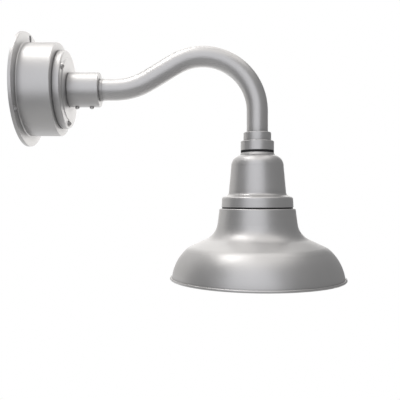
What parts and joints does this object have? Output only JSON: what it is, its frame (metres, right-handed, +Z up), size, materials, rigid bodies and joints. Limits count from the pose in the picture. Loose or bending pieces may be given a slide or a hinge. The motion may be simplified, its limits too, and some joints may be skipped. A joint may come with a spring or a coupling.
{
  "type": "gooseneck wall sconce",
  "caption": "Round wall box carrying a swan-necked tube arm that ends in a stepped hood and a bell shade with a light module inside.",
  "frame": {"origin": "centre of the wall flange's back face, where the fixture meets the wall", "axes": "+X out of the wall along the hub's axis, +Z up, +Y completes the right-handed frame; the arm lies in the XZ plane"},
  "size_m": [0.3752, 0.206, 0.2896],
  "materials": {
    "cast_finish": "satin silver powder coat on cast aluminium",
    "tube_finish": "satin silver powder coat on aluminium tube",
    "shade_finish": "satin silver powder coat on spun aluminium",
    "screw_finish": "stainless steel, silver coated heads",
    "zinc_steel": "zinc plated",
    "black_rubber": "matt black",
    "sink_aluminium": "bare die-cast aluminium",
    "lens_ring_finish": "satin silver",
    "driver_case": "off-white moulded case",
    "terminal_plastic": "natural polyamide",
    "board_white": "white solder mask",
    "chip_yellow": "phosphor gel",
    "white_reflector": "gloss white",
    "frosted_lens": "frosted polycarbonate",
    "cable_jacket": "black jacket",
    "lead_insulation": "black and white insulated leads",
    "earth_green": "green insulation",
    "tinned_lug": "tinned",
    "ground_screw_green": "green passivated steel",
    "splice_plastic": "natural nylon"
  },
  "bodies": {
    "wall_mount": {"wall_housing": "cast_finish", "wall_gasket": "black_rubber", "front_cover": "cast_finish", "cover_gasket": "black_rubber", "cover_screws": "screw_finish", "arm_hub": "cast_finish", "hub_gasket": "black_rubber", "hub_washer": "zinc_steel", "hub_locknut": "zinc_steel", "set_screws": "screw_finish", "carrier_plate": "zinc_steel", "carrier_screws": "zinc_steel", "led_driver": "driver_case", "driver_screws": "zinc_steel", "terminal_block": "terminal_plastic", "supply_leads": "lead_insulation", "ground_screw": "ground_screw_green", "earth_lug": "tinned_lug", "earth_lead": "earth_green", "driver_output_lead": "cable_jacket", "splice_connector": "splice_plastic"},
    "arm": {"gooseneck_tube": "tube_finish", "retaining_clip": "zinc_steel", "thrust_washer": "zinc_steel", "stop_ring": "tube_finish", "tube_grommet": "black_rubber", "lamp_cable": "cable_jacket", "stepped_collar": "cast_finish", "collar_gasket": "black_rubber", "hood_washer": "zinc_steel", "hood_locknut": "zinc_steel", "hood": "cast_finish", "hood_gasket": "black_rubber", "shade": "shade_finish", "shade_screws": "zinc_steel", "heat_sink": "sink_aluminium", "sink_grommet": "black_rubber", "led_board": "board_white", "led_chips": "chip_yellow", "reflector": "white_reflector", "lens": "frosted_lens", "lens_gasket": "black_rubber", "lens_ring": "lens_ring_finish", "lens_screws": "screw_finish"}
  },
  "joints": [
    {"name": "arm_roll", "type": "hinge", "parent": "wall_mount", "child": "arm", "pos_m": [0.0689, 0, 0], "axis": [1, 0, 0], "range_deg": [-90, 90]}
  ]
}
